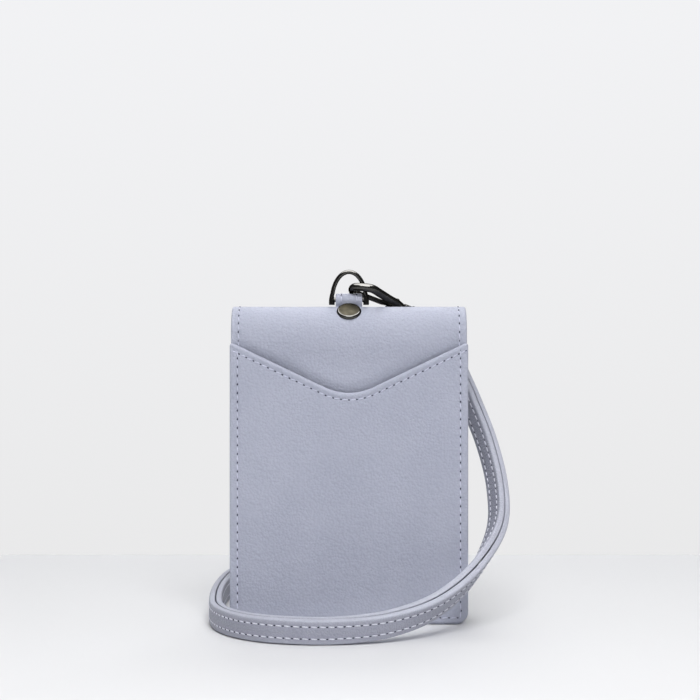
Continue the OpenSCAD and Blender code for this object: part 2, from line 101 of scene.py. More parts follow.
# Distance from stitch to stitch
SEAM_PITCH = 2.94
SCOOP_PITCH = 2.7
WINDOW_PITCH = 2.8
TAB_PITCH = 2.7
STRAP_PITCH = 2.66

# Where the leather bends between the wallet and the pocket leaf, in metres
CREASE = ("wallet", "pocket_leaf", (0, -0.0085, 0.1013), (0, -0.0085, 0.0968))
# Where the strap bends between the clasp's end and the part that lies still
STRAP_BEND = ("lanyard_end", "wallet", (0.036, 0.02, 0.1), (0.036, 0.02, 0.062))

# The strap's route: each point with the direction of the strap's width
ROUTE = [
    ((37.3, 24.5, 89), (0.6, -0.7, 0.38)),
    ((43.5, 26, 75), (0.56, -0.77, 0.3)),
    ((49.1, 20.5, 60), (0.5, -0.85, 0.18)),
    ((52, 10.5, 45), (0.4, -0.92, 0.08)),
    ((50.5, -4, 32), (0.25, -0.96, 0.12)),
    ((41.8, -20, 20), (0, -0.9, 0.35)),
    ((28.8, -33, 10.7), (-0.1, -0.67, 0.67)),
    ((13.3, -42, 6.1), (-0.05, -0.38, 0.9)),
    ((-3.7, -46, 4.6), (0, -0.22, 0.97)),
    ((-19.7, -45, 4.6), (-0.03, -0.18, 0.98)),
    ((-33.2, -37, 4.5), (-0.06, -0.12, 0.99)),
    ((-42.2, -22, 4.4), (-0.04, 0, 1)),
    ((-45.9, 0, 4.3), (0, 0, 1)),
    ((-46.8, 38, 4.2), (0, 0, 1)),
    ((-43, 74, 4.2), (0, 0, 1)),
    ((-29, 90, 4.2), (0, 0, 1)),
    ((-5, 96, 4.2), (0, 0, 1)),
    ((20, 90, 4.2), (0, 0, 1)),
    ((36, 73, 4.2), (0, 0, 1)),
    ((34, 52, 4.2), (0, 0, 1)),
    ((18, 42, 4.2), (0, 0, 1)),
    ((2, 44, 4.2), (0, 0, 1)),
]


# Numbers and curves

def unit(v):
    v = np.asarray(v, float)
    return v / np.linalg.norm(v, axis=-1, keepdims=True)


def columns(*parts):
    return np.column_stack(parts)


def square_to(v, axis):
    return unit(np.asarray(v) - axis * np.dot(v, axis))


def smooth_at(rows, t):
    """A smooth curve through the rows, which are one step of t apart."""
    last = len(rows) - 1
    i = min(int(t), last - 1)
    b, c = rows[i], rows[i + 1]
    a = rows[i - 1] if i > 0 else 2 * b - c
    d = rows[i + 2] if i + 2 <= last else 2 * c - b
    t = t - i
    return (
        2 * b + (c - a) * t + (2 * a - 5 * b + 4 * c - d) * t * t
        + (3 * b - a - 3 * c + d) * t ** 3
    ) / 2


def run_length(points):
    steps = np.linalg.norm(np.diff(points, axis=0), axis=1)
    return np.concatenate([[0], np.cumsum(steps)])


def at_runs(s, run, line):
    """Points of a line at distances along it."""
    return columns(*[np.interp(s, run, row) for row in line.T])


def evenly(points, step, margin=0.0):
    """Points and directions at even steps along a line, centred on its run."""
    run = run_length(points)
    usable = run[-1] - 2 * margin
    count = max(int(usable / step), 1)
    at = margin + (usable - count * step) / 2 + (np.arange(count) + 0.5) * step
    ahead, behind = [at_runs(at + d, run, points) for d in (step / 4, -step / 4)]
    return at_runs(at, run, points), unit(ahead - behind)


# The clasp's frame: its origin and its axes along the swivel, to the side and up
CLASP_AT = np.array([21.7, 11.5, 106.3])
CLASP_X = unit([0.8, 0.52, -0.31])
CLASP_Y = square_to([0.59, -0.77, 0.25], CLASP_X)
CLASP_Z = np.cross(CLASP_X, CLASP_Y)
EYE_BAR_RUN = 8.5
RIVET_RUN = 9.0
NUDGE = 0.01


class Route:
    """The line midway between the two strands, with the strap's directions on it."""

    def __init__(self):
        start = CLASP_AT + CLASP_X * EYE_BAR_RUN
        rivet_at = start + CLASP_X * RIVET_RUN
        rows = [(start, CLASP_Y), (rivet_at, CLASP_Y), *ROUTE]
        self.points, self.widths = np.array(rows, float).swapaxes(0, 1)
        self.offs = [BIGHT_OFF] + [STRAND_OFF] * (len(rows) - 1)
        self.end = len(rows) - 1

    def frame(self, t):
        """The point, and the directions along, across and out of the strap."""
        ahead, behind = min(t + NUDGE, self.end), max(t - NUDGE, 0)
        along = unit(smooth_at(self.points, ahead) - smooth_at(self.points, behind))
        width = square_to(smooth_at(self.widths, t), along)
        return smooth_at(self.points, t), along, width, np.cross(along, width)

    def off(self, t):
        return smooth_at(self.offs, t)

    def even_steps(self, step):
        """Values of t about step apart along the route."""
        fine = np.linspace(0, self.end, 60 * self.end + 1)
        run = run_length(np.array([smooth_at(self.points, t) for t in fine]))
        count = int(round(run[-1] / step))
        return np.interp(np.linspace(0, run[-1], count + 1), run, fine)


route = Route()


# Camera: frame width and lens in millimetres, place in metres

SENSOR_W = 36.0
LENS = 80.68
CAMERA_AT = (0.00035, -0.5401, 0.0929)


def new_object(name, data):
    thing = bpy.data.objects.new(name, data)
    bpy.context.scene.collection.objects.link(thing)
    return thing


def make_camera():
    data = bpy.data.cameras.new("photo_camera")
    data.sensor_width = SENSOR_W
    data.lens = LENS
    camera = new_object("photo_camera", data)
    camera.location = CAMERA_AT
    camera.rotation_euler = (math.radians(90), 0, 0)
    bpy.context.scene.camera = camera


make_camera()


# Materials

class Nodes:
    """Nodes in one tree. A value is a socket, a number or a colour without alpha."""

    def __init__(self, tree, where="Object"):
        self.tree = tree
        self.where = self.put("ShaderNodeTexCoord", where)

    def feed(self, value, socket):
        if isinstance(value, bpy.types.NodeSocket):
            self.tree.links.new(value, socket)
        else:
            socket.default_value = (*value, 1.0) if isinstance(value, tuple) else value

    def put(self, kind, output, inputs=None, **settings):
        """The output of a new node with these inputs and settings."""
        node = self.tree.nodes.new(kind)
        for key, value in settings.items():
            setattr(node, key, value)
        for key, value in (inputs or {}).items():
            self.feed(value, node.inputs[key])
        return node.outputs[output]

    def lying(self, kind, output, inputs=None, **settings):
        """The same for a texture that lies on the piece's own coordinates."""
        inputs = {"Vector": self.where, **(inputs or {})}
        return self.put(kind, output, inputs, **settings)

    def noise(self, scale, detail=3.0, rough=0.5):
        return self.lying("ShaderNodeTexNoise", "Fac", {
            "Scale": scale, "Detail": detail, "Roughness": rough,
        })

    def axis(self, letter):
        return self.lying("ShaderNodeSeparateXYZ", letter)

    def mixed(self, factor, a, b):
        """A colour between a and b."""
        return self.put("ShaderNodeMix", 2, {0: factor, 6: a, 7: b}, data_type="RGBA")

    def maths(self, operation, a, b, clamp=False):
        return self.put(
            "ShaderNodeMath", 0, {0: a, 1: b}, operation=operation, use_clamp=clamp
        )

    def spread(self, value, low, high, out_low=0.0, out_high=1.0):
        return self.put("ShaderNodeMapRange", "Result", {
            "Value": value, "From Min": low, "From Max": high,
            "To Min": out_low, "To Max": out_high,
        })


class Surface(Nodes):
    """A material on the standard shader, whose plain values are given by name."""

    def __init__(self, name, **values):
        self.material = bpy.data.materials.new(name)
        self.material.use_nodes = True
        super().__init__(self.material.node_tree)
        self.shader = self.tree.nodes["Principled BSDF"].inputs
        self.set(**values)

    def set(self, **values):
        for key, value in values.items():
            self.feed(value, self.shader[key.replace("_", " ")])

    def finished(self, tone, rough, height, depth, strength=1.0):
        """The material, with its colour, roughness and fine relief."""
        relief = self.put("ShaderNodeBump", "Normal", {
            "Strength": strength, "Distance": depth, "Height": height,
        })
        self.set(Base_Color=tone, Roughness=rough, Normal=relief)
        return self.material


def leather(name, base, deep, light, grain=1150.0, depth=0.00024, rough=0.55):
    """Fine pebbled leather: grain, soft patches, and a lighter tone on edges that is
    partly wear and partly painted highlight.
    """
    s = Surface(name, Specular_IOR_Level=0.22, Sheen_Weight=0.02, Sheen_Roughness=0.5)
    cells = s.lying(
        "ShaderNodeTexVoronoi", "Distance", {"Scale": grain, "Randomness": 1.0}
    )
    fine = s.noise(grain * 1.7, 4.0, 0.6)
    pebble = s.noise(grain * 0.55, 2.0)
    patches = s.noise(55.0, 2.0)
    height = s.maths("MULTIPLY", cells, 0.7)
    for relief, share in ((fine, 0.7), (pebble, 0.55)):
        height = s.maths("ADD", height, s.maths("MULTIPLY", relief, share))
    tone = s.mixed(s.spread(cells, 0.05, 0.75, 0.0, 0.45), base, deep)
    tone = s.mixed(s.spread(patches, 0.3, 0.7, 0.0, 0.18), tone, light)
    # Lighter tone along edges: partly real wear, partly a painted highlight on the
    # rounded rims.
    worn_and_lit_edge = s.put("ShaderNodeAttribute", "Fac", attribute_name="edge")
    speckle = s.spread(fine, 0.3, 0.7, 0.35, 0.6)
    tone = s.mixed(s.maths("MULTIPLY", worn_and_lit_edge, speckle, clamp=True), tone, light)
    gloss = s.spread(fine, 0.3, 0.7, rough - 0.07, rough + 0.08)
    return s.finished(tone, gloss, height, depth)


def metal(name, base, other, rough, depth=0.000004, scale=900.0):
    """Plated metal with faint unevenness in its tone, gloss and surface."""
    s = Surface(name, Metallic=1.0, Specular_Tint=(0.25, 0.25, 0.25))
    cloud = s.noise(scale * 0.35)
    tone = s.mixed(s.spread(cloud, 0.3, 0.7), base, other)
    gloss = s.spread(cloud, 0.3, 0.7, rough * 0.8, rough * 1.3)
    return s.finished(tone, gloss, s.noise(scale * 4, 2.0), depth)


def fibres(name, base, deep, grain, gloss, depth, **values):
    """Fine strands: the twist of a thread, or the short fibres of board."""
    s = Surface(name, **values)
    strands = s.noise(*grain)
    tone = s.mixed(s.spread(strands, 0.35, 0.65), base, deep)
    return s.finished(tone, s.spread(strands, 0.3, 0.7, *gloss), strands, depth)


def thread(name, base, deep):
    return fibres(name, base, deep, (5200.0, 2.0), (0.5, 0.7), 0.00005,
                  Specular_IOR_Level=0.3, Sheen_Weight=0.25)


def woven(name, base, deep, pitch=0.00045):
    """Plain woven lining: two sets of threads over and under."""
    s = Surface(name, Specular_IOR_Level=0.25, Sheen_Weight=0.3)
    weave = s.maths("MULTIPLY", *[
        s.lying(
            "ShaderNodeTexWave", "Fac", {"Scale": 0.314 / pitch, "Distortion": 0.6},
            wave_type="BANDS", bands_direction=direction,
        )
        for direction in ("X", "Z")
    ])
    blotch = s.noise(120.0, 2.0)
    tone = s.mixed(s.spread(weave, 0.0, 1.0, 0.9, 0.0), base, deep)
    tone = s.mixed(s.spread(blotch, 0.3, 0.7, 0.0, 0.2), tone, deep)
    return s.finished(tone, s.spread(blotch, 0.3, 0.7, 0.66, 0.8), weave, 0.00006)


def clear_sheet():
    """Clear flexible sheet with faint scuffs."""
    s = Surface("clear_sheet", Transmission_Weight=0.96, IOR=1.47)
    scuffs = s.noise(260.0, 6.0, 0.7)
    gloss = s.spread(scuffs, 0.45, 0.8, 0.04, 0.22)
    return s.finished((0.97, 0.98, 0.99), gloss, scuffs, 0.00002, 0.3)


LEATHER = leather(
    "lavender_leather",
    (0.385, 0.403, 0.488), (0.308, 0.326, 0.412), (0.53, 0.545, 0.64),
)
STRAP_LEATHER = leather(
    "strap_leather", (0.350, 0.360, 0.432), (0.275, 0.285, 0.358),
    (0.56, 0.575, 0.65), grain=1500.0, depth=0.0002, rough=0.52,
)
INNER_LEATHER = leather(
    "card_slot_leather", (0.345, 0.370, 0.470), (0.28, 0.30, 0.40),
    (0.48, 0.51, 0.61), depth=0.00006,
)
# Needle holes are not cut: a flat dark disc on the leather is painted shade for the
# inside of each hole.
NEEDLE_HOLE_SHADE = leather(
    "needle_hole_shade", (0.045, 0.045, 0.075), (0.03, 0.03, 0.05), (0.09, 0.09, 0.13),
    rough=0.8,
)
THREAD = thread("lavender_thread", (0.64, 0.655, 0.76), (0.46, 0.475, 0.60))
STRAP_THREAD = thread("pale_thread", (0.76, 0.77, 0.83), (0.55, 0.56, 0.65))
LINING = woven("lining_cloth", (0.30, 0.32, 0.41), (0.19, 0.20, 0.28))
GUNMETAL = metal("gunmetal", (0.090, 0.088, 0.083), (0.065, 0.064, 0.061), 0.11)
RIVET_FACE = metal(
    "rivet_face", (0.036, 0.033, 0.025), (0.024, 0.022, 0.017), 0.42,
    depth=0.00001, scale=1800.0,
)
STEEL = metal("steel", (0.42, 0.42, 0.42), (0.34, 0.34, 0.34), 0.3)
BOARD = fibres(
    "board", (0.42, 0.38, 0.32), (0.33, 0.29, 0.24), (1400.0, 6.0, 0.7), (0.8, 0.95),
    0.00004, Specular_IOR_Level=0.2,
)
CLEAR = clear_sheet()


# Meshes

def make_piece(name, points, faces, materials, which=None, edge=None, sharp=48.0):
    """A mesh object from points in millimetres."""
    mesh = bpy.data.meshes.new(name)
    mesh.from_pydata((np.asarray(points, float) * MM).tolist(), [], faces)
    if which is not None:
        mesh.polygons.foreach_set("material_index", which)
    work = bmesh.new()
    work.from_mesh(mesh)
    bmesh.ops.recalc_face_normals(work, faces=work.faces)
    work.to_mesh(mesh)
    work.free()
    mesh.shade_smooth()
    mesh.set_sharp_from_angle(angle=math.radians(sharp))
    if edge is not None:
        attribute = mesh.attributes.new("edge", "FLOAT", "POINT")
        attribute.data.foreach_set("value", np.asarray(edge, np.float32))
    for material in materials:
        mesh.materials.append(material)
    return new_object(name, mesh)


def finish_piece(piece, slot, nodes=(), body=None, blend=None):
    if nodes:
        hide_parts(*nodes)
    if blend:
        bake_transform(piece)
    else:
        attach(piece, body)
    return piece


def circle(sides):
    angles = np.linspace(0, 2 * math.pi, sides, endpoint=False)
    return np.cos(angles), np.sin(angles)


def band(a, b):
    """Faces between two closed rows of points."""
    count = len(a)
    return [
        (a[i], a[(i + 1) % count], b[(i + 1) % count], b[i]) for i in range(count)
    ]


def skin(rings, closed=False):
    """Points and faces of a skin over rings of equal counts."""
    rings = np.asarray(rings, float)
    count, sides = rings.shape[:2]
    faces = []
    for i in range(count if closed else count - 1):
        low, high = i * sides, (i + 1) % count * sides
        faces += band(range(low, low + sides), range(high, high + sides))
    if not closed:
        faces.append(tuple(range(sides))[::-1])
        faces.append(tuple(range((count - 1) * sides, count * sides)))
    return rings.reshape(-1, 3), faces


def joined(parts):
    """Several (points, faces) as one."""
    points, faces, base = [], [], 0
    for p, f in parts:
        points.append(p)
        faces += [tuple(i + base for i in face) for face in f]
        base += len(p)
    return np.concatenate(points), faces


def turned(profile, sides):
    """A closed form turned about Z from (radius, height) rows that end on the axis."""
    cos, sin = circle(sides)
    return skin([columns(r * cos, r * sin, np.full(sides, h)) for r, h in profile])


def placed(shape, origin, x, y, z):
    points, faces = shape
    return origin + points @ np.array([x, y, z]), faces


def laid(section, centre, x, y):
    """A flat section's points, set up at the centre on two directions."""
    return centre + np.outer(section[:, 0], x) + np.outer(section[:, 1], y)


def wire(line, radii, sides=20, closed=False, up=None):
    """A round wire along a line of points, with its own radius at each."""
    line = np.asarray(line, float)
    if closed:
        ahead = unit(np.roll(line, -1, 0) - np.roll(line, 1, 0))
    else:
        ahead = unit(np.gradient(line, axis=0))
    cos, sin = circle(sides)
    rings = []
    for point, along, radius in zip(line, ahead, radii):
        side = unit(np.cross(up, along))
        over = np.cross(along, side)
        r = np.broadcast_to(radius, 2)
        rings.append(point + np.outer(cos, side * r[0]) + np.outer(sin, over * r[1]))
    return skin(rings, closed)


# Flat panels, made on an outline in (across, up) with a depth from the face

def arc(centre, radius, start, end, steps=6):
    a = np.radians(np.linspace(start, end, steps + 1))
    return columns(centre[0] + radius * np.cos(a), centre[1] + radius * np.sin(a))


def rounded_box(low, high, r):
    """A rectangle with round corners, anticlockwise from the lower left."""
    (a, b), (c, d) = low, high
    return np.concatenate([
        arc((a + r, b + r), r, 180, 270), arc((c - r, b + r), r, 270, 360),
        arc((c - r, d - r), r, 0, 90), arc((a + r, d - r), r, 90, 180),
    ])


def mirrored(line):
    """The same line on the other side, in the order that goes on round the outline."""
    return (np.asarray(line) * [-1, 1])[::-1]


def subdivided(loop, step):
    out = []
    for a, b in zip(loop, np.roll(loop, -1, 0)):
        count = max(int(math.ceil(np.linalg.norm(b - a) / step)), 1)
        out += [a + (b - a) * k / count for k in range(count)]
    return np.array(out)


def left_of(ahead):
    return columns(-ahead[:, 1], ahead[:, 0])


def inset(loop, d):
    """The loop moved into the material by d."""
    before = left_of(unit(loop - np.roll(loop, 1, 0)))
    after = left_of(unit(np.roll(loop, -1, 0) - loop))
    middle = unit(before + after)
    stretch = 1 / np.clip((middle * before).sum(1), 0.6, 1)
    return loop + middle * (d * stretch)[:, None]


def distance_to(points, a, b):
    """Distance from each point to the nearest of the segments from a to b."""
    best = np.full(len(points), 1e9)
    for p, q in zip(a, b):
        run = q - p
        t = np.clip((points - p) @ run / max(run @ run, 1e-12), 0, 1)
        best = np.minimum(best, np.linalg.norm(points - p - t[:, None] * run, axis=1))
    return best


def inside(points, loops):
    within = np.zeros(len(points), bool)
    for loop in loops:
        for a, b in zip(loop, np.roll(loop, -1, 0)):
            crosses = (a[1] > points[:, 1]) != (b[1] > points[:, 1])
            rise = b[1] - a[1] if b[1] != a[1] else 1e-12
            x = (b[0] - a[0]) * (points[:, 1] - a[1]) / rise + a[0]
            within ^= crosses & (points[:, 0] < x)
    return within


def filled(loops, extra):
    """Triangles between the loops, through the extra points: all points, and faces."""
    points = np.concatenate([*loops, extra])
    edges, base = [], 0
    for loop in loops:
        count = len(loop)
        edges += [(base + i, base + (i + 1) % count) for i in range(count)]
        base += count
    verts, _, faces, origin, _, _ = delaunay_2d_cdt(
        [tuple(p) for p in points], edges, [], 0, 1e-5
    )
    index = [o[0] if o else None for o in origin]
    middles = np.array([np.mean([verts[i] for i in f], axis=0) for f in faces])
    faces = [tuple(index[i] for i in f) for f in faces]
    keep = inside(middles, loops)
    return points, [f for f, k in zip(faces, keep) if k and None not in f]


EDGE_TURNS = np.radians([0, 22.5, 45, 67.5, 90])
CLEARANCE = 0.25   # grid points stay this far from the rounded edge
NO_POINTS = np.zeros((0, 2))


def level(p, dist):
    return 0.0


def slab(outline, thick, edge_r, back_r=0.15, grid=2.2, holes=(), face=level,
         back=level, rows=NO_POINTS, back_insets=(), cut=math.inf):
    """A closed panel: (across, up, depth) points, faces and distance from the edge.

    face and back give extra depth from (points, distance). rows are points that the
    face passes through. cut is the height of an end that is left square, where
    another piece goes on."""
    loops = [subdivided(loop, grid) for loop in [outline, *holes]]
    edges = []
    for loop in loops:
        pairs = np.stack([loop, np.roll(loop, -1, 0)])
        edges.append(pairs[:, (abs(pairs[:, :, 1] - cut) >= 1e-6).any(0)])
    seg_a, seg_b = np.concatenate(edges, 1)
    field = np.stack(np.meshgrid(*[
        np.arange(low + grid / 2, high, grid)
        for low, high in zip(outline.min(0), outline.max(0))
    ]), -1).reshape(-1, 2)
    gap = distance_to(field, rows, rows)
    field = np.concatenate([field[gap > 0.5 * grid], rows])
    all_points, all_faces, spans, rims = [], [], [], []
    base = 0
    for radius, more in ((edge_r, ()), (back_r, back_insets)):
        steps = [*(radius * (1 - np.cos(EDGE_TURNS))), *more]
        rings = [[inset(loop, s) for s in steps] for loop in loops]
        inner = [ring[-1] for ring in rings]
        span = np.minimum(distance_to(field, seg_a, seg_b), abs(field[:, 1] - cut))
        clear = span > steps[-1] + CLEARANCE
        points, faces = filled(inner, field[clear & inside(field, inner)])
        start = offset = base
        all_points.append(points)
        all_faces += [tuple(start + i for i in f) for f in faces]
        base += len(points)
        outers = []
        for ring in rings:
            count = len(ring[-1])
            above = range(offset, offset + count)
            offset += count
            for loop in ring[-2::-1]:
                all_points.append(loop)
                here = range(base, base + count)
                base += count
                all_faces += band(above, here)
                above = here
            outers.append(above)
        spans.append(slice(start, base))
        rims.append(outers)
    for front_rim, back_rim in zip(*rims):
        all_faces += band(front_rim, back_rim)
    flat = np.concatenate(all_points)
    dist = distance_to(flat, seg_a, seg_b)
    depth = np.zeros(len(flat))
    for part, radius, extra in zip(spans, (edge_r, back_r), (face, back)):
        room = np.clip(radius - dist[part], 0, radius)
        rounding = radius - np.sqrt(np.maximum(radius ** 2 - room ** 2, 0))
        more = extra(flat[part], dist[part])
        depth[part] = (
            rounding + more if part is spans[0] else thick - rounding - more
        )
    return columns(flat, depth), all_faces, dist


def lower_corners(width, low):
    half, r = width / 2, CORNER_R
    return [
        arc((-half + r, low + r), r, 180, 270), arc((half - r, low + r), r, 270, 360),
    ]


def panel_outline(width, low, high, top=None):
    """Anticlockwise from the lower left. top holds the points from right to left."""
    half = width / 2
    if top is None:
        top = np.array([[half, high], [-half, high]])
    return np.concatenate([*lower_corners(width, low), top])


def thumb_outline(width, high):
    """A panel with a half-round cut for the thumb in its upper edge."""
    half = width / 2
    return panel_outline(width, 0, high, top=np.concatenate([
        [[half, high]], arc((0, high), THUMB_R, 0, -180, 24), [[-half, high]],
    ]))


def scoop_height(x):
    reach = SCOOP_R * math.sin(SCOOP_SLOPE)
    low = SCOOP_Z + SCOOP_R * (1 - math.cos(SCOOP_SLOPE))
    x = np.abs(x)
    round_part = SCOOP_Z + SCOOP_R - np.sqrt(np.maximum(SCOOP_R ** 2 - x ** 2, 0))
    return np.where(x < reach, round_part, low + (x - reach) * math.tan(SCOOP_SLOPE))


def scoop_line(half, step=1.0):
    x = np.linspace(half, -half, int(2 * half / step) + 1)
    return columns(x, scoop_height(x))


def gauss(x, width):
    return np.exp(-(x / width) ** 2)


# How strongly an edge is lightened: partly real wear, partly a painted highlight where
# rounded rims catch the light.
def edge_wear_and_highlight(dist, width=0.45):
    return np.exp(-np.asarray(dist) / width)


FRONT, BACK = -1.0, 1.0


def facing(way, y):
    """Panel points to space: the face is at y, looks that way, and depth goes in."""
    return lambda p: columns(p[:, 0], y - way * p[:, 2], p[:, 1])


def straight_out(way):
    """The direction out of a flat panel."""
    return lambda p: np.tile([0.0, way, 0.0], (len(p), 1))


def rolled_at(face_y, face_r):
    """Panel points to space: up the front, round the fold and down the back."""

    def place(p):
        x, v, d = p.T
        angle = np.clip((v - FOLD_Z) / face_r, 0, math.pi)
        down = np.clip(v - FOLD_Z - math.pi * face_r, 0, None)
        up = np.clip(v, None, FOLD_Z)
        blend = np.clip(np.sin(angle) * 3, 0, 1)
        radius = face_y + (face_r - face_y) * blend - d
        y = -radius * np.cos(angle)
        z = up + radius * np.sin(angle) - down
        return columns(x, y, z)

    return place


rolled = rolled_at(FOLD_R, FOLD_R)


def from_end(place, end):
    """The same way to space, for panel points that start at the far end."""
    return lambda p: place(p * [1, -1, 1] + [0, end, 0])


def panel(name, outline, thick, edge_r, place, material, nodes, body=None, blend=None,
          slot="leather", **options):
    points, faces, dist = slab(outline, thick, edge_r, **options)
    piece = make_piece(name, place(points), faces, [material], edge=edge_wear_and_highlight(dist))
    finish_piece(piece, slot, nodes, body, blend)


# Stitches

THREAD_HALF = 0.92
THREAD_R = 0.185
THREAD_LIFT = 0.05
THREAD_SLANT = 0.13
THREAD_SHAPE = [(-1.0, 0.35), (-0.82, 0.75), (-0.45, 1.0), (0, 1.05), (0.45, 1.0),
                (0.82, 0.75), (1.0, 0.35)]
THREAD_SIDES = 8
HOLE_HALF = 0.36
HOLE_SIDE = 0.24
HOLE_SHAPE = ((0.9, -0.12), (1.0, 0.012), (0.6, 0.035))
HOLE_SIDES = 10


def stitch_template(half, radius):
    cos, sin = circle(THREAD_SIDES)
    return skin([
        columns(
            np.full(THREAD_SIDES, u * half), radius * r * cos,
            THREAD_LIFT * (1 - 1.6 * u ** 4) + 0.8 * radius * r * sin,
        )
        for u, r in THREAD_SHAPE
    ])


# The shape of the dark disc that is painted shade for a needle hole.
def hole_template(half):
    cos, sin = circle(HOLE_SIDES)
    return skin([
        columns(half * s * cos, HOLE_SIDE * s * sin, np.full(HOLE_SIDES, h))
        for s, h in HOLE_SHAPE
    ])


def stitches(name, places, aheads, outs, threads=THREAD, half=THREAD_HALF,
             radius=THREAD_R, slant=THREAD_SLANT, hole_half=HOLE_HALF,
             pitch=SEAM_PITCH, **where):
    """Threads on a surface, each with a dark disc after it that is painted shade for
    the needle's hole.
    """
    sides = np.cross(outs, aheads)
    shapes = []
    for template, shift, tilt in (
        (stitch_template(half, radius), 0.0, slant),
        (hole_template(hole_half), pitch / 2, 0.0),
    ):
        points, faces = template
        a = unit(aheads + sides * tilt)
        s = np.cross(outs, a)
        world = (
            (places + aheads * shift)[:, None]
            + points[None, :, :1] * a[:, None]
            + points[None, :, 1:2] * s[:, None]
            + points[None, :, 2:] * outs[:, None]
        )
        shapes.append(joined([(w, faces) for w in world]))
    points, faces = joined(shapes)
    which = [0] * len(shapes[0][1]) + [1] * len(shapes[1][1])
    piece = make_piece(name, points, faces, [threads, NEEDLE_HOLE_SHADE], which, sharp=60.0)
    return finish_piece(piece, "leather", **where)


def seam(name, line, place, out, pitch=SEAM_PITCH, **where):
    """Stitches along a flat line of (across, up) points on a panel."""
    spots, ahead = evenly(np.asarray(line, float), pitch)
    flat = [columns(s, np.zeros(len(s))) for s in (spots, spots + ahead * 0.1)]
    at, on = map(place, flat)
    stitches(name, at, unit(on - at), unit(out(flat[0])), pitch=pitch, **where)


# The lanyard: two strands, the turn round the eye and the turn at the neck

STRAP_STITCH_AT = 2.0
STRAP_STEP = 1.9
# Width of the strap's lighter edges: partly wear, partly painted highlight.
STRAP_WEAR_AND_HIGHLIGHT = 0.7


def ply_section(width, thick, soft, close, steps, top, under):
    """A ply's section, soft at its upper corners, with the points between them."""
    x, y = width / 2, thick / 2
    return np.concatenate([
        arc((x - soft, y - soft), soft, 0, 90, steps), top,
        arc((-x + soft, y - soft), soft, 90, 180, steps),
        arc((-x + close, -y + close), close, 180, 270, steps), under,
        arc((x - close, -y + close), close, 270, 360, steps),
    ])


def ply(name, section, rings, material, node, worn_and_lit_edge, **where):
    wear_and_highlight = edge_wear_and_highlight(section[:, 0].max() - np.abs(section[:, 0]), worn_and_lit_edge)
    piece = make_piece(name, *skin(rings), [material], edge=np.tile(wear_and_highlight, len(rings)))
    return finish_piece(piece, "leather", [node], **where)


def strap_section(outward):
    """A strand's section as (width, thickness): soft on its stitched side."""
    flat = np.array([2.7, 2.25, 2, 1.75, 1.3, 0.6, 0])
    flat = np.append(flat, -flat[-2::-1])
    sink = 0.09 * gauss(np.abs(flat) - STRAP_STITCH_AT, 0.22) - 0.05 * gauss(flat, 1.5)
    loop = ply_section(
        STRAP_W, STRAP_T, 0.6, 0.25, 5, columns(flat, STRAP_T / 2 - sink),
        columns(-flat, np.full(len(flat), -STRAP_T / 2)),
    )
    return loop if outward > 0 else (loop * [1, -1])[::-1]


def strand(node, side):
    section = strap_section(side)
    rings, middles = [], []
    for t in route.even_steps(STRAP_STEP):
        p, along, width, out = route.frame(t)
        middles.append(p + out * side * route.off(t))
        rings.append(laid(section, middles[-1], width, out))
    piece = ply(node + "_leather", section, rings, STRAP_LEATHER, node, STRAP_WEAR_AND_HIGHLIGHT,
                blend=STRAP_BEND)

    sewing = []
    for t in route.even_steps(STRAP_PITCH)[1:-1]:
        p, along, width, out = route.frame(t)
        face = p + out * side * (route.off(t) + STRAP_T / 2 - 0.05)
        for across in (-STRAP_STITCH_AT, STRAP_STITCH_AT):
            sewing.append((face + width * across, along, out * side))
    sewn = stitches(
        node + "_stitches", *np.array(sewing).swapaxes(0, 1), STRAP_THREAD,
        radius=0.23, pitch=STRAP_PITCH, slant=0.08 * side, blend=STRAP_BEND,
    )

    middles = np.array(middles) * MM


def strap_turn(name, t, off, sense, node, body):
    """Half a turn of strap round the line's end."""
    p, along, width, out = route.frame(t)
    section = strap_section(1)
    rings = [
        laid(
            section + [0, off], p, width,
            sense * (out * math.cos(a) + along * math.sin(a)),
        )
        for a in np.radians(np.linspace(0, 180, 25))
    ]
    ply(name, section, rings, STRAP_LEATHER, node, STRAP_WEAR_AND_HIGHLIGHT, body=body)


strand("strap_inner", 1)
strand("strap_outer", -1)
strap_turn("strap_bight_leather", 0, BIGHT_OFF, -1, "strap_bight", "lanyard_end")
strap_turn("strap_neck_leather", route.end, STRAND_OFF, 1, "strap_neck_fold", "wallet")


# The outer leather and the lining: up the pocket leaf, round the fold, down the back

CUT_ANGLE = math.radians(104)   # where the front piece ends and the back piece begins
CUT_V = FOLD_Z + FOLD_R * CUT_ANGLE
END_V = 2 * FOLD_Z + math.pi * FOLD_R
FRONT_LIFT = 0.4                # the front leaf's leather ends just above the floor
LEATHER_EDGE = 0.7
SLACK = 0.035
SUNK = 1.1
BULGE = 1.25
BULGE_SIDES = 0.85              # by how much less it bulges at the sides
BULGE_AT = 96.0
BULGE_HALF = 6.5


def rim_depth(p, dist):
    """The turned edge is thicker than the leather, and thinner again on the fold."""
    rim = dist < RIM_W - 0.05
    from_ends = np.minimum(p[:, 1], END_V - p[:, 1])
    over_fold = np.clip(from_ends - FOLD_Z + 1, 0, 1)
    inner = np.where(rim, 0.0, RIM_LEAF_T - COVER_T)
    return inner + over_fold * (RIM_LEAF_T - RIM_FOLD_T) * rim


def slack(p, dist):
    """The faint unevenness of leather over a board."""
    x, v = p[:, 0], p[:, 1]
    wave = np.sin(x / 9 + 0.7) * np.sin(v / 13 + 0.4) + 0.6 * np.sin(x / 5 - v / 7)
    return -SLACK * wave * np.clip(dist / 6, 0, 1)


